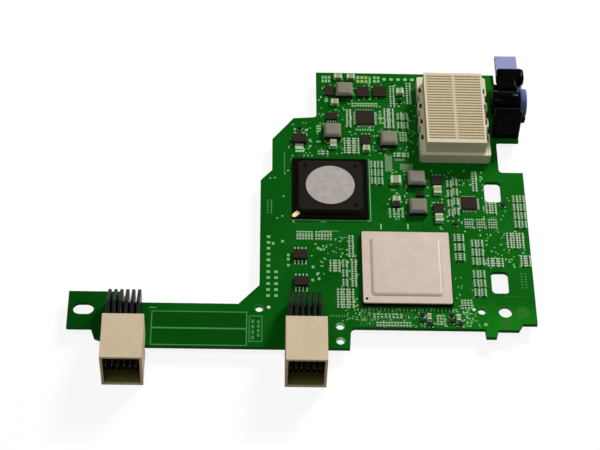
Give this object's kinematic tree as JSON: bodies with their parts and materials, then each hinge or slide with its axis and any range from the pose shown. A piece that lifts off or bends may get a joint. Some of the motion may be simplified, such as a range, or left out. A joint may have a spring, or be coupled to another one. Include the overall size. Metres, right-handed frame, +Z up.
{
  "type": "fibre channel expansion card",
  "caption": "Green stepped circuit board with right-angle backplane headers on a long side strip, a slotted mezzanine connector, a lidded chip, a capped chip and a hinged release lever.",
  "frame": {"origin": "centre of the round mounting hole on the board's top face", "axes": "+X to the right along the board's long side, +Y away from the backplane headers, +Z up out of the component side"},
  "size_m": [0.1622, 0.1447, 0.018],
  "materials": {
    "board": "satin green lacquer",
    "beige_plastic": "matt",
    "black_plastic": "satin",
    "blade_gold": "plated",
    "solder": "bright",
    "cream_plastic": "matt",
    "substrate": "satin",
    "lid_metal": "plated, satin",
    "slug_metal": "satin",
    "chip_mould": "matt",
    "blue_plastic": "satin",
    "ferrite": "matt",
    "tan_ceramic": "matt",
    "chip_bodies": "matt"
  },
  "bodies": {
    "card": {"black_parts": "chip_mould", "board": "board", "cap_chip_balls": "solder", "cap_chip_cap": "chip_mould", "cap_chip_mark": "blade_gold", "cap_chip_slug": "slug_metal", "cap_chip_substrate": "substrate", "chips_lower": "chip_bodies", "chips_right": "chip_bodies", "chips_upper": "chip_bodies", "clock_chip": "chip_mould", "clock_leads": "solder", "control_chip": "chip_mould", "control_leads": "solder", "header_left_blades": "blade_gold", "header_left_shroud": "beige_plastic", "header_left_tails": "solder", "header_left_wafers": "black_plastic", "header_right_blades": "blade_gold", "header_right_shroud": "beige_plastic", "header_right_tails": "solder", "header_right_wafers": "black_plastic", "inductors": "ferrite", "lever_carrier": "black_plastic", "lid_chip_balls": "solder", "lid_chip_lid": "lid_metal", "lid_chip_substrate": "substrate", "memory_chips": "chip_mould", "memory_leads": "solder", "mezzanine_base": "cream_plastic", "mezzanine_block": "cream_plastic", "power_chips": "chip_mould", "resistor_arrays": "chip_bodies", "tan_capacitors": "tan_ceramic", "transistor_leads": "solder", "transistor_tabs": "solder", "transistors": "chip_mould"},
    "lever": {"lever": "blue_plastic"}
  },
  "joints": [
    {"name": "lever_hinge", "type": "hinge", "parent": "card", "child": "lever", "pos_m": [0.0102, 0.0897, 0.006], "axis": [-1, 0, 0], "range_deg": [0, 25]}
  ]
}
